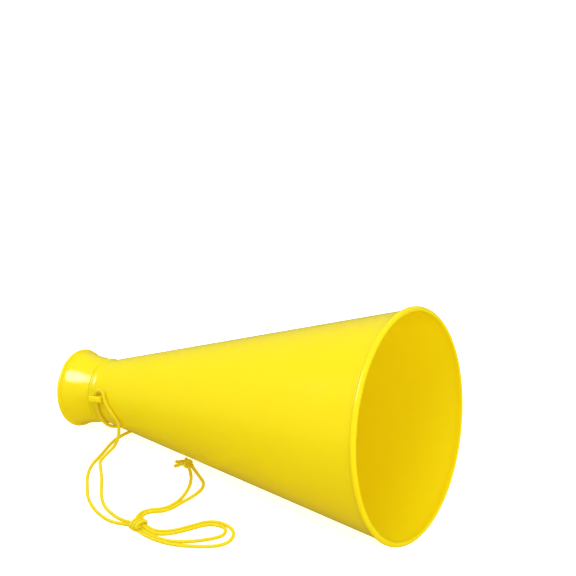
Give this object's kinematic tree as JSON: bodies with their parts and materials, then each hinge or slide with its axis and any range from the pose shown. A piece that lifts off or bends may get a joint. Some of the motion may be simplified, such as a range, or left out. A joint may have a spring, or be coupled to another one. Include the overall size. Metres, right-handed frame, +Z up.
{
  "type": "cheer megaphone",
  "caption": "Moulded plastic cheer megaphone lying on its side: flared horn with a rolled rim and cord lugs, push-fit mouthpiece and a knotted neck cord.",
  "frame": {"origin": "on the floor, under the middle of the horn and mouthpiece, which lie on the bell's rim and the mouthpiece's lip", "axes": "+X along the megaphone towards the bell, +Z up, and -Y towards the cord spread on the floor"},
  "size_m": [0.3574, 0.2266, 0.1905],
  "materials": {
    "yellow_plastic": "glossy moulded polyethylene",
    "mouthpiece_plastic": "glossy moulded polyethylene",
    "cord": "braided polyester, 3 mm"
  },
  "bodies": {
    "root": {"horn": "yellow_plastic", "mouthpiece": "mouthpiece_plastic", "cord_neck_turn": "cord", "cord_near_leg": "cord", "cord_far_leg": "cord", "bundle_knot": "cord", "cord_outer_loop": "cord", "cord_inner_loop": "cord", "cord_inner_end": "cord", "cord_outer_end": "cord", "end_knot": "cord", "cord_upper_tail": "cord", "cord_lower_tail": "cord"}
  },
  "joints": []
}
